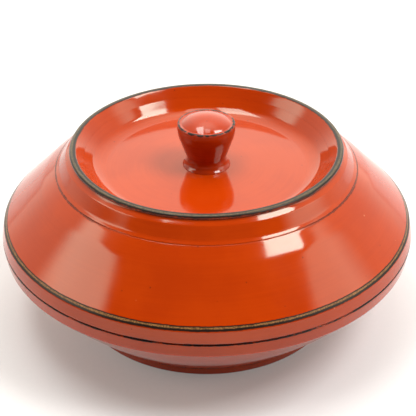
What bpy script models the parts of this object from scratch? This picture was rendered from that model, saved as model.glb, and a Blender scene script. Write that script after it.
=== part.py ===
"""Turned and lacquered covered bowl: a flared bowl on a foot ring, and a lid with a
standing collar and a knob, which lifts straight off an upright lip inside the bowl's mouth.

Everything is turned about the Z axis.  The origin is the centre of the foot, on the table.
"""

import math

import bmesh
import bpy

MM = 0.001

# ---------------------------------------------------------------- driving dimensions
WIDEST_RADIUS = 105.0 * MM       # bowl and lid, where they meet
MEETING_HEIGHT = 47.9 * MM       # the fine line between bowl and lid
WALL = 5.0 * MM                  # turned wood, measured square to the surface
GLUE_GAP = 0.3 * MM              # left between pieces that touch
LIFT_CLEARANCE = 0.5 * MM        # round the lip, so that the lid slides off it

# ---------------------------------------------------------------- foot ring
FOOT_HEIGHT = 4.6 * MM
FOOT_RADIUS = 67.0 * MM          # on the table
FOOT_TOP_RADIUS = 68.0 * MM
FOOT_INNER_RADIUS = 60.5 * MM
FOOT_ROUNDING = 0.8 * MM

# ---------------------------------------------------------------- bowl
BOWL_BASE_HEIGHT = FOOT_HEIGHT + GLUE_GAP
BOWL_BASE_RADIUS = 68.5 * MM     # where the flare leaves the foot
BOWL_FLARE_MIDDLE = (86.9 * MM, 22.5 * MM)   # radius and height of the flare's slight belly
BOWL_BAND_RADIUS = 104.0 * MM    # lower edge of the upright band
BOWL_BAND_HEIGHT = 40.8 * MM
BOWL_BAND_ROUNDING = 2.2 * MM
BOWL_RIM_HEIGHT = MEETING_HEIGHT - GLUE_GAP / 2
RIM_ROUNDING = 0.6 * MM
BOWL_FLOOR_HEIGHT = BOWL_BASE_HEIGHT + WALL
BOWL_FLOOR_RADIUS = BOWL_BASE_RADIUS - 2.3 * MM
BOWL_FLOOR_ROUNDING = 12.0 * MM

# ---------------------------------------------------------------- lip ring
LIP_INNER_RADIUS = 96.0 * MM
LIP_OUTER_RADIUS = 98.9 * MM
LIP_HEIGHT = 53.0 * MM
LIP_SEAT_HEIGHT = 42.0 * MM      # ledge in the bowl's mouth that the lip stands on
LIP_ROUNDING = 1.0 * MM

# ---------------------------------------------------------------- lid
LID_RIM_HEIGHT = MEETING_HEIGHT + GLUE_GAP / 2
LID_RIM_INNER_RADIUS = LIP_OUTER_RADIUS + LIFT_CLEARANCE
LID_EDGE_RADIUS = 103.7 * MM     # worn edge between band and shoulder
LID_EDGE_HEIGHT = 54.4 * MM
LID_EDGE_ROUNDING = 1.6 * MM
SHOULDER_TOP_RADIUS = 75.8 * MM
SHOULDER_TOP_HEIGHT = 82.0 * MM
SHOULDER_MIDDLE = (90.2 * MM, 68.6 * MM)     # radius and height of the shoulder's slight belly
DISH_MIDDLE_HEIGHT = 82.0 * MM   # the floor is very slightly crowned
DISH_FLOOR_HEIGHT = 80.9 * MM
DISH_FLOOR_RADIUS = 54.7 * MM    # corner that the floor's cove rounds off
DISH_REBATE_RADIUS = 61.0 * MM   # the collar stands outside this
DISH_COVE = 10.0 * MM
PLATE_UNDERSIDE_HEIGHT = 75.4 * MM
LID_INNER_TOP_RADIUS = 75.2 * MM
LID_INNER_ROUNDING = 7.0 * MM
LID_INNER_FOOT_HEIGHT = 53.8 * MM

# ---------------------------------------------------------------- collar ring
COLLAR_SEAT_HEIGHT = SHOULDER_TOP_HEIGHT
COLLAR_FOOT = (72.9 * MM, 85.2 * MM)         # radius and height, as all three of these
COLLAR_NECK = (70.3 * MM, 89.2 * MM)
COLLAR_CREASE = (67.9 * MM, 91.1 * MM)       # where the rim's bead begins
COLLAR_TOP_HEIGHT = 93.0 * MM
COLLAR_TOP_OUTER_RADIUS = 68.3 * MM
COLLAR_TOP_INNER_RADIUS = 65.3 * MM
COLLAR_TOP_ROUNDING = 1.2 * MM
COLLAR_BASE_INNER_RADIUS = 61.3 * MM
COLLAR_BASE_INNER_HEIGHT = 88.25 * MM        # the dish's side runs straight on from the lid

# ---------------------------------------------------------------- knob
TENON_RADIUS = 5.7 * MM
KNOB_BASE_HEIGHT = DISH_MIDDLE_HEIGHT + GLUE_GAP
KNOB_BASE_RADIUS = 11.9 * MM
KNOB_BASE_THICKNESS = 0.4 * MM
KNOB_NECK = (9.3 * MM, 84.7 * MM)            # radius and height, as all three of these
KNOB_HEAD = (14.55 * MM, 99.9 * MM)
KNOB_EDGE = (14.35 * MM, 105.5 * MM)
KNOB_NECK_ROUNDING = 3.0 * MM
KNOB_HEAD_ROUNDING = 14.0 * MM
KNOB_EDGE_ROUNDING = 1.0 * MM
KNOB_DOME_RADIUS = 12.3 * MM
KNOB_DOME_CURVE = 19.0 * MM      # radius of the ball that the dome is part of
KNOB_TOP_HEIGHT = 109.0 * MM
KNOB_DOME_STEPS = 5

# ---------------------------------------------------------------- fineness
SEGMENTS = 60                    # round the large pieces
KNOB_SEGMENTS = 36
ROUNDING_SEGMENTS = 2            # in each rounded corner
MERGE_DISTANCE = 0.001 * MM
SMOOTH_ANGLE = math.radians(32.0)

# Each lacquer: colour, roughness.
RED_LACQUER = ((0.54, 0.052, 0.009, 1.0), 0.14)
DEEP_RED_LACQUER = ((0.40, 0.030, 0.006, 1.0), 0.14)
BLACK_LACQUER = ((0.014, 0.010, 0.008, 1.0), 0.16)


def clear_scene():
    """Remove every object that the file opened with."""
    for thing in list(bpy.data.objects):
        bpy.data.objects.remove(thing, do_unlink=True)


def lacquer(name, finish):
    """Make one Principled material from a (colour, roughness) pair."""
    colour, roughness = finish
    material = bpy.data.materials.new(name)
    material.use_nodes = True
    shader = material.node_tree.nodes["Principled BSDF"]
    shader.inputs["Base Color"].default_value = colour
    shader.inputs["Roughness"].default_value = roughness
    shader.inputs["Metallic"].default_value = 0.0
    material.diffuse_color = colour
    return material


def rounding_reach(before, corner, after, rounding):
    """Distance from a corner to where an arc of that radius leaves its two sides."""
    first = (before.co - corner.co).normalized()
    second = (after.co - corner.co).normalized()
    half_angle = first.angle(second) / 2.0
    return rounding / math.tan(half_angle)


def round_corners(mesh, corners, roundings):
    """Round the corners of a wire outline, each to its own radius."""
    count = len(corners)
    reaches = []
    for index, rounding in enumerate(roundings):
        if rounding > 0.0:
            before = corners[index - 1]
            after = corners[(index + 1) % count]
            reaches.append((corners[index], rounding_reach(before, corners[index], after, rounding)))
    for corner, reach in reaches:
        bmesh.ops.bevel(
            mesh, geom=[corner], offset=reach, offset_type="OFFSET",
            segments=ROUNDING_SEGMENTS, profile=0.5, affect="VERTICES", material=-1)


def turned(name, outline, finish, segments=SEGMENTS):
    """Turn an outline of (radius, height, rounding) corners about Z into one closed solid.

    The outline runs once round the section.  One that starts and ends on the axis stays open
    there, and any other is closed into a ring.
    """
    mesh = bmesh.new()
    corners = [mesh.verts.new((radius, 0.0, height)) for radius, height, _ in outline]
    for start, end in zip(corners, corners[1:]):
        mesh.edges.new((start, end))
    if outline[0][0] > 0.0:
        mesh.edges.new((corners[-1], corners[0]))
    round_corners(mesh, corners, [rounding for _, _, rounding in outline])
    bmesh.ops.spin(
        mesh, geom=mesh.verts[:] + mesh.edges[:], cent=(0.0, 0.0, 0.0), axis=(0.0, 0.0, 1.0),
        angle=2.0 * math.pi, steps=segments, use_merge=True)
    bmesh.ops.remove_doubles(mesh, verts=mesh.verts, dist=MERGE_DISTANCE)
    bmesh.ops.recalc_face_normals(mesh, faces=mesh.faces)

    data = bpy.data.meshes.new(name)
    mesh.to_mesh(data)
    mesh.free()
    data.materials.append(lacquer(name + "_lacquer", finish))
    data.shade_smooth()
    data.set_sharp_from_angle(angle=SMOOTH_ANGLE)
    piece = bpy.data.objects.new(name, data)
    bpy.context.scene.collection.objects.link(piece)
    return piece


def make_foot_ring():
    """Ring under the bowl: stands on the table and leaves a shallow recess inside it."""
    return turned("foot_ring", [
        (FOOT_INNER_RADIUS, 0.0, 0.0),
        (FOOT_RADIUS, 0.0, FOOT_ROUNDING),
        (FOOT_TOP_RADIUS, FOOT_HEIGHT, 0.0),
        (FOOT_INNER_RADIUS, FOOT_HEIGHT, 0.0),
    ], RED_LACQUER)


def make_bowl_shell():
    """Bowl with a flat base, a flaring side, an upright band and a rebated mouth."""
    side_run = WALL * math.sqrt(2.0)             # the wall's width, measured level
    inner_top_height = BOWL_BASE_HEIGHT + (LIP_INNER_RADIUS - BOWL_BASE_RADIUS + side_run)
    rebate_radius = LIP_OUTER_RADIUS + GLUE_GAP
    return turned("bowl_shell", [
        (0.0, BOWL_BASE_HEIGHT, 0.0),
        (BOWL_BASE_RADIUS, BOWL_BASE_HEIGHT, 0.0),
        (*BOWL_FLARE_MIDDLE, 0.0),
        (BOWL_BAND_RADIUS, BOWL_BAND_HEIGHT, BOWL_BAND_ROUNDING),
        (WIDEST_RADIUS, BOWL_RIM_HEIGHT, RIM_ROUNDING),
        (rebate_radius, BOWL_RIM_HEIGHT, RIM_ROUNDING),
        (rebate_radius, LIP_SEAT_HEIGHT, 0.0),
        (LIP_INNER_RADIUS, LIP_SEAT_HEIGHT, 0.0),
        (LIP_INNER_RADIUS, inner_top_height, 0.0),
        (BOWL_FLOOR_RADIUS, BOWL_FLOOR_HEIGHT, BOWL_FLOOR_ROUNDING),
        (0.0, BOWL_FLOOR_HEIGHT, 0.0),
    ], RED_LACQUER)


def make_bowl_lip_ring():
    """Thin upright hoop in the bowl's mouth, which keeps the lid in place."""
    return turned("bowl_lip_ring", [
        (LIP_INNER_RADIUS, LIP_SEAT_HEIGHT + GLUE_GAP, 0.0),
        (LIP_OUTER_RADIUS, LIP_SEAT_HEIGHT + GLUE_GAP, 0.0),
        (LIP_OUTER_RADIUS, LIP_HEIGHT, LIP_ROUNDING),
        (LIP_INNER_RADIUS, LIP_HEIGHT, LIP_ROUNDING),
    ], BLACK_LACQUER)


def make_lid_shell():
    """Lid with an upright band, a sloping shoulder and a flat top plate bored for the knob."""
    bore_radius = TENON_RADIUS + GLUE_GAP
    rebate_height = COLLAR_SEAT_HEIGHT - GLUE_GAP
    cove_top_height = COLLAR_BASE_INNER_HEIGHT - GLUE_GAP
    return turned("lid_shell", [
        (bore_radius, PLATE_UNDERSIDE_HEIGHT, 0.0),
        (LID_INNER_TOP_RADIUS, PLATE_UNDERSIDE_HEIGHT, LID_INNER_ROUNDING),
        (LID_RIM_INNER_RADIUS, LID_INNER_FOOT_HEIGHT, 0.0),
        (LID_RIM_INNER_RADIUS, LID_RIM_HEIGHT, RIM_ROUNDING),
        (WIDEST_RADIUS, LID_RIM_HEIGHT, RIM_ROUNDING),
        (LID_EDGE_RADIUS, LID_EDGE_HEIGHT, LID_EDGE_ROUNDING),
        (*SHOULDER_MIDDLE, 0.0),
        (SHOULDER_TOP_RADIUS, rebate_height, 0.0),
        (DISH_REBATE_RADIUS, rebate_height, 0.0),
        (DISH_REBATE_RADIUS, cove_top_height, 0.0),
        (DISH_FLOOR_RADIUS, DISH_FLOOR_HEIGHT, DISH_COVE),
        (bore_radius, DISH_MIDDLE_HEIGHT, 0.0),
    ], RED_LACQUER)


def make_lid_collar_ring():
    """Standing collar glued on the lid, which makes the dish round the knob."""
    return turned("lid_collar_ring", [
        (DISH_REBATE_RADIUS + GLUE_GAP, COLLAR_SEAT_HEIGHT, 0.0),
        (SHOULDER_TOP_RADIUS, COLLAR_SEAT_HEIGHT, 0.0),
        (*COLLAR_FOOT, 0.0),
        (*COLLAR_NECK, 0.0),
        (*COLLAR_CREASE, 0.0),
        (COLLAR_TOP_OUTER_RADIUS, COLLAR_TOP_HEIGHT, COLLAR_TOP_ROUNDING),
        (COLLAR_TOP_INNER_RADIUS, COLLAR_TOP_HEIGHT, COLLAR_TOP_ROUNDING),
        (COLLAR_BASE_INNER_RADIUS, COLLAR_BASE_INNER_HEIGHT, 0.0),
    ], RED_LACQUER)


def knob_dome():
    """Corners of the knob's domed top, which is part of a ball, from its edge in to the axis."""
    centre_height = KNOB_TOP_HEIGHT - KNOB_DOME_CURVE
    corners = []
    for step in range(KNOB_DOME_STEPS + 1):
        radius = KNOB_DOME_RADIUS * (1.0 - step / KNOB_DOME_STEPS)
        rise = math.sqrt(KNOB_DOME_CURVE ** 2 - radius ** 2)
        corners.append((radius, centre_height + rise, 0.0))
    return corners


def make_knob():
    """Knob with a tenon through the lid's plate, a round base, a neck and a domed head.

    A straight flare joins the neck to the head, whose edge stands a little proud of the dome.
    """
    base_top_height = KNOB_BASE_HEIGHT + KNOB_BASE_THICKNESS
    return turned("knob", [
        (0.0, PLATE_UNDERSIDE_HEIGHT, 0.0),
        (TENON_RADIUS, PLATE_UNDERSIDE_HEIGHT, 0.0),
        (TENON_RADIUS, KNOB_BASE_HEIGHT, 0.0),
        (KNOB_BASE_RADIUS, KNOB_BASE_HEIGHT, 0.0),
        (KNOB_BASE_RADIUS, base_top_height, 0.0),
        (*KNOB_NECK, KNOB_NECK_ROUNDING),
        (*KNOB_HEAD, KNOB_HEAD_ROUNDING),
        (*KNOB_EDGE, KNOB_EDGE_ROUNDING),
        *knob_dome(),
    ], DEEP_RED_LACQUER, KNOB_SEGMENTS)


clear_scene()
bowl_pieces = [make_bowl_shell(), make_foot_ring(), make_bowl_lip_ring()]
lid_pieces = [make_lid_shell(), make_lid_collar_ring(), make_knob()]

# The lid's pieces hang from one empty on the lift axis, so that they move as one.
lid_axis = bpy.data.objects.new("lid_lift_axis", None)
bpy.context.scene.collection.objects.link(lid_axis)
for lid_piece in lid_pieces:
    lid_piece.parent = lid_axis
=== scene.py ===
"""Looks for a lacquered covered bowl: red lacquer over black, rubbed back along every edge.

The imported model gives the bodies: the bowl with its foot and its lip, and the lid with its
collar and its knob, which lifts straight up.  Each piece made here is turned from an outline of
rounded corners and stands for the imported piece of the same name.
Sizes are in millimetres unless a name says otherwise.
"""
import logging
import math
from dataclasses import dataclass
from enum import Enum
from typing import Sequence

import bmesh
import bpy
from mathutils import Matrix


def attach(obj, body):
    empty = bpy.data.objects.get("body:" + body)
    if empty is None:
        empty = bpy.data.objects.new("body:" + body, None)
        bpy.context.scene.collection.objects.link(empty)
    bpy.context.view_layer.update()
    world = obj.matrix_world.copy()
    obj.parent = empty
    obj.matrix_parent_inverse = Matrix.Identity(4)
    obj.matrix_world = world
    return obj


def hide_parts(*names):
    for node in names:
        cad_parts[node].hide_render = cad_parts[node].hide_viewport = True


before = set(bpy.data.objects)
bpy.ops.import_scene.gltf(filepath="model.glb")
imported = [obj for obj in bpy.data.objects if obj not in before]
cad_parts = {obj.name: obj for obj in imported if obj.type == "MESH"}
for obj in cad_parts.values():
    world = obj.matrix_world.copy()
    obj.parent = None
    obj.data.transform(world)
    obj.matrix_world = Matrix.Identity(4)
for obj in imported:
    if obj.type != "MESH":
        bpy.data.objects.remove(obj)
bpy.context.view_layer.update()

LOG = logging.getLogger("covered_bowl")

MM = 0.001
Socket = bpy.types.NodeSocket
Colour = tuple[float, float, float, float]


# ------------------------------------------------------------------ turning
@dataclass(frozen=True)
class Corner:
    """One corner of a turned outline, rounded to its own radius."""

    radius: float
    height: float
    rounding: float = 0.0
    steps: int = 8


@dataclass(frozen=True)
class Hollow:
    """The part of a piece that faces the inside of the closed vessel."""

    lowest: float
    highest: float
    widest: float
    most_outward: float = 0.3       # of a face's normal, so that the mouth's outer wall is left out

    def holds(self, face: bmesh.types.BMFace) -> bool:
        """Tell whether a face lies in the hollow and looks inward, up or down.

        Args:
            face: A face of a turned mesh, in metres.

        Returns:
            True for a face that belongs to the inside.
        """
        centre = face.calc_center_median()
        radius = math.hypot(centre.x, centre.y)
        outward = (face.normal.x * centre.x + face.normal.y * centre.y) / max(radius, 1e-9)
        in_reach = self.lowest * MM < centre.z < self.highest * MM and radius < self.widest * MM
        return in_reach and outward < self.most_outward


@dataclass(frozen=True)
class Lathe:
    """Turns outlines of rounded corners into closed solids about the upright axis."""

    steps: int = 300
    longest_run: float = 1.5
    merge_distance: float = 0.0005
    smooth_angle: float = math.radians(38.0)

    @staticmethod
    def _reach(before: bmesh.types.BMVert, corner: bmesh.types.BMVert,
               after: bmesh.types.BMVert, rounding: float) -> float:
        """Find how far from a corner an arc of that radius leaves its two sides.

        Args:
            before: The outline's point before the corner.
            corner: The corner.
            after: The outline's point after the corner.
            rounding: The arc's radius, in metres.

        Returns:
            The distance along each side, in metres.
        """
        first = (before.co - corner.co).normalized()
        second = (after.co - corner.co).normalized()
        return rounding / math.tan(first.angle(second) / 2.0)

    def _outline(self, mesh: bmesh.types.BMesh, corners: Sequence[Corner]) -> None:
        """Draw the outline as a wire, round its corners and divide its long runs.

        Args:
            mesh: An empty mesh to draw in.
            corners: The outline's corners, once round the section.
        """
        points = [mesh.verts.new((c.radius * MM, 0.0, c.height * MM)) for c in corners]
        for start, end in zip(points, points[1:]):
            mesh.edges.new((start, end))
        if corners[0].radius > 0.0:
            mesh.edges.new((points[-1], points[0]))
        reaches = []
        for index, corner in enumerate(corners):
            if corner.rounding > 0.0:
                after = points[(index + 1) % len(points)]
                reach = self._reach(points[index - 1], points[index], after, corner.rounding * MM)
                reaches.append((points[index], reach, corner.steps))
        for point, reach, steps in reaches:
            bmesh.ops.bevel(
                mesh, geom=[point], offset=reach, offset_type="OFFSET", segments=steps,
                profile=0.5, affect="VERTICES", material=-1)
        for edge in list(mesh.edges):
            cuts = int(edge.calc_length() / (self.longest_run * MM))
            if cuts > 0:
                bmesh.ops.subdivide_edges(mesh, edges=[edge], cuts=cuts)

    def turn(self, name: str, corners: Sequence[Corner]) -> bpy.types.Object:
        """Turn an outline into one closed, smooth solid with its place in its mesh.

        Args:
            name: The new piece's name.
            corners: The outline's corners.  One that starts and ends on the axis stays open
                there, and any other is closed into a ring.

        Returns:
            The piece, linked to the scene.
        """
        mesh = bmesh.new()
        self._outline(mesh, corners)
        bmesh.ops.spin(
            mesh, geom=mesh.verts[:] + mesh.edges[:], cent=(0.0, 0.0, 0.0),
            axis=(0.0, 0.0, 1.0), angle=2.0 * math.pi, steps=self.steps, use_merge=True)
        bmesh.ops.remove_doubles(mesh, verts=mesh.verts, dist=self.merge_distance * MM)
        bmesh.ops.recalc_face_normals(mesh, faces=mesh.faces)
        data = bpy.data.meshes.new(name)
        mesh.to_mesh(data)
        mesh.free()
        data.shade_smooth()
        data.set_sharp_from_angle(angle=self.smooth_angle)
        piece = bpy.data.objects.new(name, data)
        bpy.context.scene.collection.objects.link(piece)
        return piece


def face_hollow(piece: bpy.types.Object, hollow: Hollow) -> None:
    """Give the faces of a piece's hollow its second material.

    Args:
        piece: A turned piece with two materials.
        hollow: Where its inside is.
    """
    mesh = bmesh.new()
    mesh.from_mesh(piece.data)
    for face in mesh.faces:
        if hollow.holds(face):
            face.material_index = 1
    mesh.to_mesh(piece.data)
    mesh.free()


# ------------------------------------------------------------------ finishes
class Wiring:
    """Adds nodes to a tree and links them."""

    def __init__(self, tree: bpy.types.NodeTree) -> None:
        """Work on one tree."""
        self.tree = tree

    def node(self, kind: str) -> bpy.types.Node:
        """Add one node."""
        return self.tree.nodes.new(kind)

    def wire(self, source: Socket, target: Socket) -> None:
        """Link two sockets."""
        self.tree.links.new(source, target)

    def feed(self, target: Socket, value: object) -> None:
        """Link a socket into another, or set a plain value on it.

        Args:
            target: The input to fill.
            value: A socket, a number or a tuple.
        """
        if isinstance(value, bpy.types.NodeSocket):
            self.wire(value, target)
        else:
            target.default_value = value

    def math(self, operation: str, first: object, second: object = 0.0) -> Socket:
        """Work out one number from one or two.

        Args:
            operation: The Math node's operation.
            first: A socket or a number.
            second: A socket or a number.

        Returns:
            The result's socket.
        """
        node = self.node("ShaderNodeMath")
        node.operation = operation
        for target, value in zip(node.inputs, (first, second)):
            self.feed(target, value)
        return node.outputs[0]

    def length(self, across: Socket, along: Socket) -> Socket:
        """Find the length of a line from its two parts."""
        square = self.math("ADD", self.math("MULTIPLY", across, across),
                           self.math("MULTIPLY", along, along))
        return self.math("SQRT", square)

    def remap(self, value: Socket, start: object, end: object, low: float = 0.0,
              high: float = 1.0) -> Socket:
        """Ease a value from one range to another, held at both ends.

        Args:
            value: The value to read.
            start: Where the result is low.
            end: Where the result is high.
            low: The result at the start.
            high: The result at the end.

        Returns:
            The eased value's socket.
        """
        node = self.node("ShaderNodeMapRange")
        node.interpolation_type = "SMOOTHSTEP"
        for target, number in zip(node.inputs, (value, start, end, low, high)):
            self.feed(target, number)
        return node.outputs[0]

    def blend(self, share: object, first: object, second: object) -> Socket:
        """Lay one colour over another.

        Args:
            share: How much of the second shows.
            first: The colour underneath.
            second: The colour on top.

        Returns:
            The mixed colour's socket.
        """
        node = self.node("ShaderNodeMix")
        node.data_type = "RGBA"
        under, over = [socket for socket in node.inputs if socket.type == "RGBA"]
        self.feed(node.inputs[0], share)
        self.feed(under, first)
        self.feed(over, second)
        return next(socket for socket in node.outputs if socket.type == "RGBA")


class Bench(Wiring):
    """Lays out the nodes of one lacquer, reading places on the piece in metres."""

    def __init__(self, name: str) -> None:
        """Start a material that holds only its shader and its output."""
        self.material = bpy.data.materials.new(name)
        self.material.use_nodes = True
        super().__init__(self.material.node_tree)
        self.shader = self.tree.nodes["Principled BSDF"]
        self.place = self.node("ShaderNodeTexCoord").outputs["Object"]
        split = self.node("ShaderNodeSeparateXYZ")
        self.wire(self.place, split.inputs[0])
        self.across, self.along, self.height = split.outputs
        self.radius = self.length(self.across, self.along)

    def noise(self, scale: float, detail: float = 3.0, roughness: float = 0.5,
              place: Socket | None = None) -> Socket:
        """Read soft noise at a place on the piece.

        Args:
            scale: Features per metre.
            detail: How many finer layers it holds.
            roughness: How strong those layers are.
            place: Where to read it, or the piece's own place.

        Returns:
            The noise's value, about 0.5 on average.
        """
        node = self.node("ShaderNodeTexNoise")
        self.wire(place or self.place, node.inputs["Vector"])
        node.inputs["Scale"].default_value = scale
        node.inputs["Detail"].default_value = detail
        node.inputs["Roughness"].default_value = roughness
        return node.outputs["Fac"]

    def turning(self, scale: float, stretch: float = 0.03) -> Socket:
        """Read noise drawn out round the axis, as a turning tool or a brush leaves it.

        Args:
            scale: Marks per metre across the turning.
            stretch: How much slower the marks change round the piece than across it.

        Returns:
            The noise's value.
        """
        drawn = self.node("ShaderNodeCombineXYZ")
        slow = self.node("ShaderNodeVectorMath")
        slow.operation = "SCALE"
        self.wire(self.place, slow.inputs[0])
        slow.inputs["Scale"].default_value = stretch
        self.wire(self.radius, drawn.inputs[0])
        self.wire(self.height, drawn.inputs[2])
        sum_node = self.node("ShaderNodeVectorMath")
        sum_node.operation = "ADD"
        self.wire(drawn.outputs[0], sum_node.inputs[0])
        self.wire(slow.outputs[0], sum_node.inputs[1])
        return self.noise(scale, 2.0, 0.6, sum_node.outputs[0])

    def specks(self, scale: float, size: float, share: float) -> Socket:
        """Scatter small round specks over the piece.

        Args:
            scale: Cells per metre.
            size: A speck's radius, as a share of a cell.
            share: How many of the cells hold a speck.

        Returns:
            1 at the middle of a speck, easing to 0 at its edge.
        """
        node = self.node("ShaderNodeTexVoronoi")
        self.wire(self.place, node.inputs["Vector"])
        node.inputs["Scale"].default_value = scale
        split = self.node("ShaderNodeSeparateColor")
        self.wire(node.outputs["Color"], split.inputs[0])
        chosen = self.math("LESS_THAN", split.outputs[0], share)
        reach = self.math("MULTIPLY", chosen, size)
        return self.remap(node.outputs["Distance"], reach, self.math("MULTIPLY", reach, 0.3))

    def off_ring(self, radius: float, height: float) -> Socket:
        """Measure how far the piece's surface is from a ring about the axis.

        Args:
            radius: The ring's radius.
            height: The ring's height.

        Returns:
            The distance, in metres.
        """
        side = self.math("SUBTRACT", self.radius, radius * MM)
        rise = self.math("SUBTRACT", self.height, height * MM)
        return self.length(side, rise)

    def largest(self, values: Sequence[Socket]) -> Socket:
        """Keep the largest of several values."""
        result = values[0]
        for value in values[1:]:
            result = self.math("MAXIMUM", result, value)
        return result

    def bump(self, height: Socket, reach: float) -> None:
        """Raise the shader's surface by a height.

        Args:
            height: The height, 0 to 1.
            reach: How tall 1 is, in metres.
        """
        node = self.node("ShaderNodeBump")
        node.inputs["Strength"].default_value = 1.0
        node.inputs["Distance"].default_value = reach
        self.wire(height, node.inputs["Height"])
        self.wire(node.outputs[0], self.shader.inputs["Normal"])


@dataclass(frozen=True)
class WornRing:
    """An edge or a joint where the red has been rubbed through to black, with a painted sheen in
    any rubbed middle; at the collar's foot the dark line is partly painted shade in the crease.
    """

    radius: float
    height: float
    black: float            # how far the black undercoat shows
    bare_and_sheen: float = 0.0       # how far the rubbed middle shows, with its painted sheen, 0 for none
    broken: float = 0.35    # how ragged its border is
    depth: float = 1.0      # how strongly it shows at the sides
    front: float = 1.0      # how much of that is left at the front and the back


class RubAndSheen(Enum):
    """What shows where an edge is rubbed past the black: the lacquer's worn colour, lightened into
    a painted sheen for the light that the rounded edge reflects.
    """

    GOLD = (0.25, 0.115, 0.038, 1.0)
    GREY = (0.10, 0.070, 0.035, 1.0)


@dataclass(frozen=True)
class RedLacquer:
    """Glossy red lacquer over black, worn at its rings, with a painted sheen in rubbed middles and
    a painted glint on its paler nibs.  Scales are in marks per metre.
    """

    name: str
    rings: tuple[WornRing, ...]
    colour: Colour = (0.390, 0.0335, 0.0008, 1.0)
    deep: Colour = (0.350, 0.0275, 0.0007, 1.0)
    black: Colour = (0.012, 0.007, 0.005, 1.0)
    # paler than the film: the nibs' own colour plus a painted glint where they catch the light
    nib_and_glint: Colour = (0.62, 0.20, 0.09, 1.0)
    # colour of the rubbed middles: partly worn lacquer, partly a painted sheen for the rounded
    # edge's reflection
    rub_and_sheen: RubAndSheen = RubAndSheen.GOLD
    roughness: float = 0.07
    smeared_roughness: float = 0.05                 # added where the gloss is handled
    worn_roughness: float = 0.22                    # added where it is rubbed away
    gloss_tint: Colour = (0.74, 1.0, 0.86, 1.0)
    worn_tint: Colour = (0.34, 0.32, 0.30, 1.0)
    refraction: float = 1.5
    cloud_scale: float = 32.0
    stroke_scale: float = 900.0
    dust_scale: float = 230.0
    nib_scale: float = 120.0
    ragged_scale: float = 620.0
    patch_scale: float = 95.0
    fleck_scale: float = 1500.0
    smear_scale: float = 55.0
    swell_scale: float = 70.0
    tool_mark_scale: float = 1500.0
    relief: float = 0.00012                         # metres

    def _film(self, bench: Bench, nibs: Socket) -> Socket:
        """Colour the red film: clouded, brushed round the turning, with dust and nibs in it, the
        nibs painted paler as a glint.

        Args:
            bench: The material's bench.
            nibs: Where the nibs are.

        Returns:
            The film's colour.
        """
        cloud = bench.noise(self.cloud_scale, 4.0, 0.55)
        strokes = bench.turning(self.stroke_scale)
        tone = bench.math("ADD", bench.math("MULTIPLY", cloud, 0.75),
                          bench.math("MULTIPLY", strokes, 0.25))
        colour = bench.blend(bench.remap(tone, 0.36, 0.62), self.deep, self.colour)
        dust = bench.specks(self.dust_scale, 0.13, 0.12)
        colour = bench.blend(bench.math("MULTIPLY", dust, 0.55), colour, self.black)
        # the nibs are painted paler, a painted glint on top of their raised bump
        return bench.blend(bench.math("MULTIPLY", nibs, 0.5), colour, self.nib_and_glint)

    def _wear(self, bench: Bench) -> tuple[list[Socket], list[Socket]]:
        """Find where the rings show the black (rubbed through, and at the collar's foot partly
        painted shade), and where they are rubbed past it to a middle with a painted sheen.

        Args:
            bench: The material's bench.

        Returns:
            How far each ring shows black, and how far the rubbed ones show their middle with its
            painted sheen.
        """
        ragged = bench.noise(self.ragged_scale, 4.0, 0.65)
        patchy = bench.noise(self.patch_scale, 3.0, 0.6)
        sideways = bench.math("DIVIDE", bench.math("ABSOLUTE", bench.across), bench.radius)
        spread = bench.math("ADD", bench.math("MULTIPLY", ragged, 0.55),
                            bench.math("MULTIPLY", patchy, 0.45))
        # black where each ring shows it: wear, and at the collar's foot partly painted shade
        worn: list[Socket] = []
        rubbed: list[Socket] = []
        for ring in self.rings:
            factor = bench.remap(spread, 0.3, 0.7, 1.0 - ring.broken, 1.0 + ring.broken)
            reach = bench.math("MULTIPLY", factor, ring.black * MM)
            away = bench.off_ring(ring.radius, ring.height)
            full = bench.math("MULTIPLY", reach, 0.72)
            shows = bench.remap(away, reach, full, 0.0, ring.depth)
            if ring.front < 1.0:
                kept = bench.remap(sideways, 0.45, 0.8, ring.front, 1.0)
                shows = bench.math("MULTIPLY", shows, kept)
            worn.append(shows)
            if ring.bare_and_sheen > 0.0:
                inner = bench.math("MULTIPLY", factor, ring.bare_and_sheen * MM)
                rubbed.append(bench.remap(away, inner, bench.math("MULTIPLY", inner, 0.5)))
        return worn, rubbed

    def _flecked(self, bench: Bench, bare_and_sheen: Socket) -> Socket:
        """Break a rubbed middle, with its painted sheen, up into flecks."""
        fleck = bench.remap(bench.noise(self.fleck_scale, 3.0, 0.7), 0.40, 0.60)
        return bench.math("MULTIPLY", bare_and_sheen, bench.remap(fleck, 0.0, 1.0, 0.35, 1.0))

    def make(self) -> bpy.types.Material:
        """Build the material.

        Returns:
            The finished material.
        """
        bench = Bench(self.name)
        nibs = bench.specks(self.nib_scale, 0.085, 0.16)
        colour = self._film(bench, nibs)
        smear = bench.noise(self.smear_scale, 3.0, 0.6)
        gloss = bench.remap(smear, 0.35, 0.75, self.roughness,
                            self.roughness + self.smeared_roughness)
        rings, rubbed = self._wear(bench)
        # black at the rings: wear, and at the collar's foot partly painted shade
        worn = bench.largest(rings)
        colour = bench.blend(worn, colour, self.black)
        if rubbed:
            # the rubbed middles are flecked and take their worn colour with a painted sheen for the
            # edge's reflection
            bare_and_sheen = self._flecked(bench, bench.largest(rubbed))
            colour = bench.blend(bare_and_sheen, colour, self.rub_and_sheen.value)
        gloss = bench.math("ADD", gloss, bench.math("MULTIPLY", worn, self.worn_roughness))
        tint = bench.blend(worn, self.gloss_tint, self.worn_tint)
        bench.wire(colour, bench.shader.inputs["Base Color"])
        bench.wire(gloss, bench.shader.inputs["Roughness"])
        bench.wire(tint, bench.shader.inputs["Specular Tint"])
        bench.shader.inputs["IOR"].default_value = self.refraction

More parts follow.
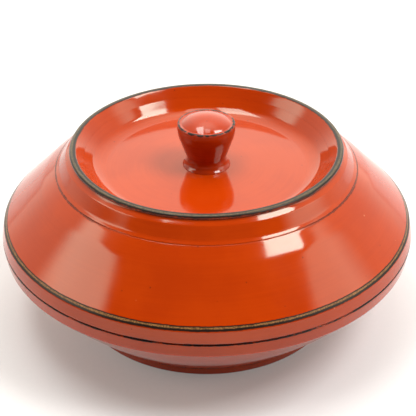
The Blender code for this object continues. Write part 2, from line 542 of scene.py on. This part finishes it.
        swell = bench.math("MULTIPLY", bench.noise(self.swell_scale, 1.0, 0.4), 0.35)
        fine = bench.math("MULTIPLY", bench.turning(self.tool_mark_scale), 0.012)
        raised = bench.math("MULTIPLY", nibs, 0.45)
        bench.bump(bench.math("ADD", bench.math("ADD", swell, fine), raised), self.relief)
        return bench.material


@dataclass(frozen=True)
class BlackLacquer:
    """Glossy black lacquer, as on the inside and on the lip.  Scales are in marks per metre."""

    name: str
    colour: Colour = (0.010, 0.008, 0.007, 1.0)
    warm: Colour = (0.030, 0.016, 0.010, 1.0)
    roughness: float = 0.07
    smeared_roughness: float = 0.08
    refraction: float = 1.5
    cloud_scale: float = 45.0
    smear_scale: float = 80.0
    tool_mark_scale: float = 700.0
    nib_scale: float = 90.0
    relief: float = 0.00012                         # metres

    def make(self) -> bpy.types.Material:
        """Build the material.

        Returns:
            The finished material.
        """
        bench = Bench(self.name)
        tone = bench.remap(bench.noise(self.cloud_scale, 4.0, 0.6), 0.35, 0.70)
        bench.wire(bench.blend(tone, self.colour, self.warm), bench.shader.inputs["Base Color"])
        smear = bench.remap(bench.noise(self.smear_scale, 4.0, 0.6), 0.3, 0.7, self.roughness,
                            self.roughness + self.smeared_roughness)
        bench.wire(smear, bench.shader.inputs["Roughness"])
        bench.shader.inputs["IOR"].default_value = self.refraction
        marks = bench.math("MULTIPLY", bench.turning(self.tool_mark_scale), 0.05)
        nibs = bench.math("MULTIPLY", bench.specks(self.nib_scale, 0.05, 0.25), 0.3)
        bench.bump(bench.math("ADD", marks, nibs), self.relief)
        return bench.material


def dress(piece: bpy.types.Object, slot: str, body: str, replaced: str,
          *finishes: bpy.types.Material) -> bpy.types.Object:
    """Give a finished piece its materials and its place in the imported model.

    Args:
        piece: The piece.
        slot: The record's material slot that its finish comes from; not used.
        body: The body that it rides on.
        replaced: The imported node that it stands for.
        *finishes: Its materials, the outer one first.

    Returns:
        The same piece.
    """
    for finish in finishes:
        piece.data.materials.append(finish)
    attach(piece, body)
    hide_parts(replaced)
    return piece


# ------------------------------------------------------------------ the bowl
@dataclass
class BowlAssembly:
    """The bowl on its foot ring, with the upright lip that the lid drops over."""

    body: str = "bowl"
    widest_radius: float = 105.0
    meeting_height: float = 47.9
    seam_gap: float = 0.3
    wall: float = 5.0
    foot_height: float = 4.6
    foot_radius: float = 67.0
    foot_top_radius: float = 68.0
    foot_inner_radius: float = 60.5
    base_radius: float = 68.5
    base_height: float = 4.9
    flare_radius: float = 86.9
    flare_height: float = 22.5
    band_radius: float = 104.0
    band_height: float = 40.8
    lip_inner_radius: float = 96.0
    lip_outer_radius: float = 98.9
    lip_seat: float = 42.0
    lip_top: float = 53.0
    gloss_tint: Colour = (0.52, 0.66, 0.56, 1.0)    # it is less polished than the lid
    lathe: Lathe = Lathe()

    @property
    def rim_height(self) -> float:
        """Height of the mouth's flat rim."""
        return self.meeting_height - self.seam_gap / 2.0

    def _finish(self) -> bpy.types.Material:
        """Make the bowl's red lacquer, worn at its mouth, its base and its foot."""
        return RedLacquer("bowl_red_lacquer", roughness=0.11, gloss_tint=self.gloss_tint, rings=(
            WornRing(self.widest_radius, self.rim_height, 0.55, broken=0.5),
            WornRing(self.base_radius - 0.3, self.base_height - 0.1, 0.75, broken=0.4),
            WornRing(self.foot_radius + 0.2, 0.0, 0.5, broken=0.6),
        )).make()

    def shell(self) -> bpy.types.Object:
        """Turn the bowl itself, black inside."""
        level_wall = self.wall * math.sqrt(2.0)
        rim = self.rim_height
        rebate = self.lip_outer_radius + 0.3
        inner_top = self.base_height + self.lip_inner_radius - self.base_radius + level_wall
        floor = self.base_height + self.wall
        piece = self.lathe.turn("covered_bowl_shell", [
            Corner(0.0, self.base_height),
            Corner(self.base_radius, self.base_height, 0.35, 4),
            Corner(self.flare_radius, self.flare_height, 380.0, 16),
            Corner(self.band_radius, self.band_height, 2.2, 14),
            Corner(self.widest_radius, rim, 0.6, 8),
            Corner(rebate, rim, 0.5, 4),
            Corner(rebate, self.lip_seat),
            Corner(self.lip_inner_radius, self.lip_seat),
            Corner(self.lip_inner_radius, inner_top, 4.0, 6),
            Corner(self.base_radius - 2.3, floor, 12.0, 12),
            Corner(0.0, floor),
        ])
        dress(piece, "red_lacquer", self.body, "bowl_shell", self._finish(),
              BlackLacquer("bowl_inside_black_lacquer").make())
        face_hollow(piece, Hollow(floor - 1.0, rim - 0.8, rebate + 0.2))
        return piece

    def foot(self) -> bpy.types.Object:
        """Turn the foot ring."""
        piece = self.lathe.turn("foot_ring_turned", [
            Corner(self.foot_inner_radius, 0.0, 0.6, 4),
            Corner(self.foot_radius, 0.0, 0.8, 6),
            Corner(self.foot_top_radius, self.foot_height + 0.2, 0.4, 4),
            Corner(self.foot_inner_radius, self.foot_height + 0.2),
        ])
        return dress(piece, "red_lacquer", self.body, "foot_ring", self._finish())

    def lip(self) -> bpy.types.Object:
        """Turn the thin upright hoop in the mouth."""
        piece = self.lathe.turn("bowl_lip_hoop", [
            Corner(self.lip_inner_radius, self.lip_seat + 0.05),
            Corner(self.lip_outer_radius, self.lip_seat + 0.05),
            Corner(self.lip_outer_radius, self.lip_top, 1.0, 8),
            Corner(self.lip_inner_radius, self.lip_top, 1.0, 8),
        ])
        return dress(piece, "black_lacquer", self.body, "bowl_lip_ring",
                     BlackLacquer("lip_black_lacquer").make())

    def build(self) -> list[bpy.types.Object]:
        """Make the bowl's pieces, from the shell to the lip."""
        return [self.shell(), self.foot(), self.lip()]


# ------------------------------------------------------------------ the lid
@dataclass
class LidAssembly:
    """The lid: an upright band, a sloping shoulder and a collar that makes a dish on top."""

    body: str = "lid"
    widest_radius: float = 105.0
    meeting_height: float = 47.9
    seam_gap: float = 0.3
    rim_inner_radius: float = 99.4
    edge_radius: float = 103.7
    edge_height: float = 54.4
    ridge_radius: float = 82.5
    ridge_height: float = 76.0
    shoulder_radius: float = 75.8
    shoulder_height: float = 82.0
    plate_middle: float = 82.0
    plate_edge: float = 80.9
    plate_underside: float = 75.4
    bore_radius: float = 5.9
    cove_radius: float = 54.7
    cove_rounding: float = 10.0
    inner_top_radius: float = 75.0
    inner_foot_height: float = 53.8
    joint_radius: float = 61.3
    joint_height: float = 88.25
    collar_foot: tuple[float, float] = (74.0, 83.4)         # radius and height, as all three
    collar_neck: tuple[float, float] = (70.35, 89.25)
    collar_crease: tuple[float, float] = (67.9, 91.15)
    bead_inner_radius: float = 65.3
    bead_outer_radius: float = 68.35
    bead_top: float = 93.0
    lathe: Lathe = Lathe()

    @property
    def rim_height(self) -> float:
        """Height of the lid's flat rim."""
        return self.meeting_height + self.seam_gap / 2.0

    @property
    def collar_seat(self) -> float:
        """Height of the rebate under the collar, just clear of the collar itself."""
        return self.shoulder_height - 0.05

    def _collar_joint_and_shade(self) -> WornRing:
        """Mark the thin dark line at the collar's foot: partly its joint line, partly painted shade
        in the crease; faint in front.
        """
        return WornRing(self.shoulder_radius, self.collar_seat, 0.6, broken=0.7, depth=0.65,
                        front=0.15)

    def _finish(self) -> bpy.types.Material:
        """Make the lid's red lacquer, worn at its rim, its edge and its collar's foot, with a
        painted sheen in the edge's rubbed middle and painted shade in the line at the collar's
        foot.
        """
        return RedLacquer("lid_red_lacquer", rings=(
            WornRing(self.widest_radius, self.rim_height, 0.55, broken=0.5),
            WornRing(self.edge_radius - 1.05, self.edge_height + 0.95, 1.5, broken=0.12),
            # the wide edge's rubbed middle: gold-brown wear with a painted sheen for its reflection
            WornRing(self.edge_radius - 1.25, self.edge_height + 1.15, 0.9, 0.58, 0.4),
            self._collar_joint_and_shade(),
        )).make()

    def shell(self) -> bpy.types.Object:
        """Turn the lid itself, black underneath and bored for the knob's tenon."""
        rim = self.rim_height
        piece = self.lathe.turn("lid_shell_turned", [
            Corner(self.bore_radius, self.plate_underside),
            Corner(self.inner_top_radius, self.plate_underside, 7.0, 8),
            Corner(self.rim_inner_radius, self.inner_foot_height, 2.0, 4),
            Corner(self.rim_inner_radius, rim, 0.5, 4),
            Corner(self.widest_radius, rim, 0.6, 8),
            Corner(self.edge_radius, self.edge_height, 1.6, 16),
            Corner(self.ridge_radius, self.ridge_height, 45.0, 8),
            Corner(self.shoulder_radius, self.collar_seat, 0.2, 4),
            Corner(self.joint_radius - 0.2, self.collar_seat),
            Corner(self.joint_radius - 0.03, self.joint_height - 0.03),
            Corner(self.cove_radius, self.plate_edge, self.cove_rounding, 24),
            Corner(self.bore_radius, self.plate_middle),
        ])
        dress(piece, "red_lacquer", self.body, "lid_shell", self._finish(),
              BlackLacquer("lid_inside_black_lacquer").make())
        face_hollow(piece, Hollow(rim + 0.8, self.plate_underside + 0.5,
                                  self.rim_inner_radius + 0.3))
        return piece

    def collar(self) -> bpy.types.Object:
        """Turn the standing collar with its rubbed bead, whose top holds a painted sheen, and
        painted shade in the line at its foot.
        """
        finish = RedLacquer("collar_red_lacquer", rub_and_sheen=RubAndSheen.GREY, rings=(
            self._collar_joint_and_shade(),
            WornRing(self.bead_outer_radius - 1.55, self.bead_top - 0.7, 1.95, broken=0.10),
            # the bead's rubbed top: grey wear with a painted sheen for the light it reflects
            WornRing(self.bead_outer_radius - 1.15, self.bead_top, 0.5, 0.72, 0.4),
        )).make()
        piece = self.lathe.turn("lid_collar_turned", [
            Corner(self.joint_radius, self.shoulder_height),
            Corner(self.shoulder_radius, self.shoulder_height, 0.2, 4),
            Corner(*self.collar_foot, 4.0, 6),
            Corner(*self.collar_neck, 2.0, 10),
            Corner(*self.collar_crease, 0.2, 3),
            Corner(self.bead_outer_radius + 0.05, self.bead_top - 1.25, 0.4, 5),
            Corner(self.bead_outer_radius, self.bead_top, 1.2, 10),
            Corner(self.bead_inner_radius, self.bead_top, 1.2, 10),
            Corner(self.joint_radius, self.joint_height),
        ])
        return dress(piece, "red_lacquer", self.body, "lid_collar_ring", finish)

    def build(self) -> list[bpy.types.Object]:
        """Make the lid's two turned pieces."""
        return [self.shell(), self.collar()]


@dataclass
class KnobAssembly:
    """The knob: a tenon through the lid's plate, a spread base, a neck and a domed head."""

    body: str = "lid"
    tenon_radius: float = 5.7
    tenon_foot: float = 75.4
    seat: float = 81.7
    base_radius: float = 12.0
    base_top: float = 82.15
    neck_radius: float = 9.3
    neck_height: float = 84.7
    head_radius: float = 14.55
    head_start: float = 99.9
    edge_radius: float = 14.35
    edge_height: float = 105.5
    groove_radius: float = 12.3
    groove_height: float = 104.8
    dome_radius: float = 7.1
    top_height: float = 109.0
    colour: Colour = (0.37, 0.027, 0.001, 1.0)
    deep: Colour = (0.27, 0.018, 0.001, 1.0)
    gloss_tint: Colour = (0.95, 1.0, 0.95, 1.0)
    lathe: Lathe = Lathe(steps=160, longest_run=0.8)

    def build(self) -> list[bpy.types.Object]:
        """Turn the knob and dress it in its deeper red, with its tenon's end black."""
        finish = RedLacquer(
            "knob_deep_red_lacquer", colour=self.colour, deep=self.deep,
            gloss_tint=self.gloss_tint, rings=(
                WornRing(self.edge_radius - 0.4, self.edge_height, 0.95, broken=1.0),
            )).make()
        piece = self.lathe.turn("knob_turned", [
            Corner(0.0, self.tenon_foot),
            Corner(self.tenon_radius, self.tenon_foot),
            Corner(self.tenon_radius, self.seat),
            Corner(self.base_radius, self.seat),
            Corner(self.base_radius, self.base_top, 0.25, 4),
            Corner(self.neck_radius, self.neck_height, 4.0, 12),
            Corner(self.head_radius, self.head_start, 14.0, 12),
            Corner(self.edge_radius, self.edge_height, 1.0, 8),
            Corner(self.groove_radius, self.groove_height, 0.5, 4),
            Corner(self.dome_radius, self.top_height, 19.0, 20),
            Corner(0.0, self.top_height),
        ])
        dress(piece, "knob_lacquer", self.body, "knob", finish,
              BlackLacquer("tenon_end_black_lacquer").make())
        face_hollow(piece, Hollow(self.tenon_foot - 0.5, self.tenon_foot + 0.5,
                                  self.tenon_radius + 0.5))
        return [piece]


# ------------------------------------------------------------------ the studio
@dataclass(frozen=True)
class Softbox:
    """A plain rectangular light that hangs level over the bowl."""

    name: str
    centre: tuple[float, float, float]      # metres
    width: float
    depth: float
    radiance: float
    turn: float = 0.0                       # degrees about the upright

    def hang(self) -> bpy.types.Object:
        """Make the light.

        Returns:
            The light's object.
        """
        light = bpy.data.lights.new(self.name, "AREA")
        light.shape = "RECTANGLE"
        light.size = self.width
        light.size_y = self.depth
        light.energy = self.radiance * math.pi * self.width * self.depth
        lamp = bpy.data.objects.new(self.name, light)
        lamp.location = self.centre
        lamp.rotation_euler = (0.0, 0.0, math.radians(self.turn))
        lamp.visible_camera = False
        bpy.context.scene.collection.objects.link(lamp)
        return lamp


@dataclass(frozen=True)
class Card:
    """A pale wall seen from the bowl.  Angles are in degrees, and bearings from the front."""

    start: float                # bearing of its left end
    end: float                  # bearing of its right end
    lowest: float               # rise of its foot
    highest: float              # rise of its top
    radiance: float
    blur: float                 # how soft its ends are
    fade: float = 6.0           # how soft its foot is
    top_fade: float = 1.5

    def patch(self, wiring: Wiring, bearing: Socket, rise: Socket) -> Socket:
        """Light the card's part of the room.

        Args:
            wiring: The room's nodes.
            bearing: Which way a direction points, in degrees from the front.
            rise: How steeply it points up, in degrees.

        Returns:
            The card's radiance in that direction.
        """
        near = wiring.remap(bearing, self.start - self.blur, self.start + self.blur)
        far = wiring.remap(bearing, self.end - self.blur, self.end + self.blur, 1.0, 0.0)
        low = wiring.remap(rise, self.lowest - self.fade, self.lowest + self.fade)
        high = wiring.remap(rise, self.highest - self.top_fade, self.highest + self.top_fade,
                            self.radiance, 0.0)
        return wiring.math("MULTIPLY", wiring.math("MULTIPLY", near, far),
                           wiring.math("MULTIPLY", low, high))


@dataclass
class Studio:
    """Pale floor, soft lights, a room that is bright behind and dark in front, and a camera."""

    floor_half_width: float = 6.0           # metres
    floor_colour: Colour = (0.55, 0.54, 0.54, 1.0)
    camera_place: tuple[float, float, float] = (-0.000511, -0.552626, 0.399630)
    camera_pitch: float = 31.938            # degrees below level
    camera_yaw: float = 0.118
    camera_roll: float = -0.314
    lens: float = 109.34
    sensor: float = 36.0
    shown_background: Colour = (0.965, 0.955, 0.95, 1.0)
    room_colour: Colour = (1.0, 0.97, 0.86, 1.0)
    floor_glow: float = 0.16                # its own light, which keeps the shadow pale
    glow_tint: Colour = (1.0, 0.97, 0.95, 1.0)
    front_glow: float = 0.05                # radiance of the room in front
    side_glow: float = 1.05
    back_glow: float = 0.9                  # added to the sides' straight behind
    overhead_glow: float = 1.1
    cards: tuple[Card, ...] = (
        Card(-103.0, -64.0, 24.0, 42.0, 4.1, blur=5.0, fade=7.0),
        Card(64.0, 98.0, 12.0, 41.0, 2.6, blur=8.0),
    )
    softboxes: tuple[Softbox, ...] = (
        Softbox("right_window", (1.63, -0.28, 2.48), 1.16, 1.38, 17.0, turn=28.0),
        Softbox("left_ceiling", (-0.62, -0.05, 2.48), 0.70, 1.40, 10.0),
        Softbox("middle_ceiling", (0.12, -0.10, 2.48), 0.55, 0.70, 4.0),
    )

    def floor(self) -> bpy.types.Object:
        """Lay the pale floor.

        Returns:
            The floor's object.
        """
        mesh = bmesh.new()
        bmesh.ops.create_grid(mesh, x_segments=8, y_segments=8, size=self.floor_half_width)
        data = bpy.data.meshes.new("studio_floor")
        mesh.to_mesh(data)
        mesh.free()
        bench = Bench("studio_floor_paper")
        grain = bench.remap(bench.noise(400.0, 4.0, 0.6), 0.3, 0.7)
        pale = tuple(0.985 * part for part in self.floor_colour[:3]) + (1.0,)
        bench.wire(bench.blend(grain, self.floor_colour, pale), bench.shader.inputs["Base Color"])
        bench.shader.inputs["Roughness"].default_value = 0.9
        bench.shader.inputs["Specular IOR Level"].default_value = 0.1
        bench.shader.inputs["Emission Color"].default_value = self.glow_tint
        bench.shader.inputs["Emission Strength"].default_value = self.floor_glow
        data.materials.append(bench.material)
        floor = bpy.data.objects.new("studio_floor", data)
        bpy.context.scene.collection.objects.link(floor)
        return floor

    def room(self) -> bpy.types.World:
        """Make the room's own light: bright behind the bowl, dark in front, with its cards.

        Returns:
            The world.
        """
        world = bpy.data.worlds.new("studio_room")
        world.use_nodes = True
        wiring = Wiring(world.node_tree)
        split = wiring.node("ShaderNodeSeparateXYZ")
        wiring.wire(wiring.node("ShaderNodeTexCoord").outputs["Generated"], split.inputs[0])
        across, along, up = split.outputs

        level = wiring.math("MAXIMUM", wiring.length(across, along), 0.001)
        back = wiring.math("DIVIDE", along, level)
        glow = wiring.math("ADD",
                           wiring.remap(back, -0.35, 0.35, self.front_glow, self.side_glow),
                           wiring.remap(back, 0.55, 0.98, 0.0, self.back_glow))
        overhead = wiring.math("MULTIPLY", wiring.remap(up, 0.80, 0.95, 0.0, self.overhead_glow),
                               wiring.remap(along, -0.12, 0.22))
        glow = wiring.math("ADD", glow, overhead)
        bearing = wiring.math("ARCTAN2", across, wiring.math("MULTIPLY", along, -1.0))
        bearing = wiring.math("DEGREES", bearing)
        rise = wiring.math("DEGREES", wiring.math("ARCSINE", up))
        for card in self.cards:
            glow = wiring.math("ADD", glow, card.patch(wiring, bearing, rise))

        seen = wiring.node("ShaderNodeLightPath").outputs["Is Camera Ray"]
        unseen = wiring.math("MULTIPLY", wiring.math("SUBTRACT", 1.0, seen), glow)
        background = wiring.tree.nodes["Background"]
        wiring.wire(wiring.math("ADD", seen, unseen), background.inputs["Strength"])
        wiring.wire(wiring.blend(seen, self.room_colour, self.shown_background),
                    background.inputs["Color"])
        bpy.context.scene.world = world
        return world

    def camera(self) -> bpy.types.Object:
        """Stand the camera in front of the bowl, looking down on it.

        Returns:
            The camera's object.
        """
        data = bpy.data.cameras.new("studio_camera")
        data.lens = self.lens
        data.sensor_width = self.sensor
        data.clip_start = 0.01
        data.clip_end = 50.0
        camera = bpy.data.objects.new("studio_camera", data)
        aim = (Matrix.Rotation(math.radians(-self.camera_yaw), 4, "Z")
               @ Matrix.Rotation(math.radians(90.0 - self.camera_pitch), 4, "X")
               @ Matrix.Rotation(math.radians(self.camera_roll), 4, "Z"))
        camera.matrix_world = Matrix.Translation(self.camera_place) @ aim
        bpy.context.scene.collection.objects.link(camera)
        bpy.context.scene.camera = camera
        return camera

    def build(self) -> None:
        """Set up the whole studio and the plain colour response."""
        self.floor()
        self.room()
        self.camera()
        for softbox in self.softboxes:
            softbox.hang()
        bpy.context.scene.view_settings.view_transform = "Standard"


def main() -> None:
    """Build the bowl, the lid, the knob and the studio, and report each piece."""
    logging.basicConfig(level=logging.INFO, format="%(name)s: %(message)s")
    for assembly in (BowlAssembly(), LidAssembly(), KnobAssembly()):
        for piece in assembly.build():
            LOG.info("%s: %d faces", piece.name, len(piece.data.polygons))
    Studio().build()


if __name__ == "__main__":
    main()
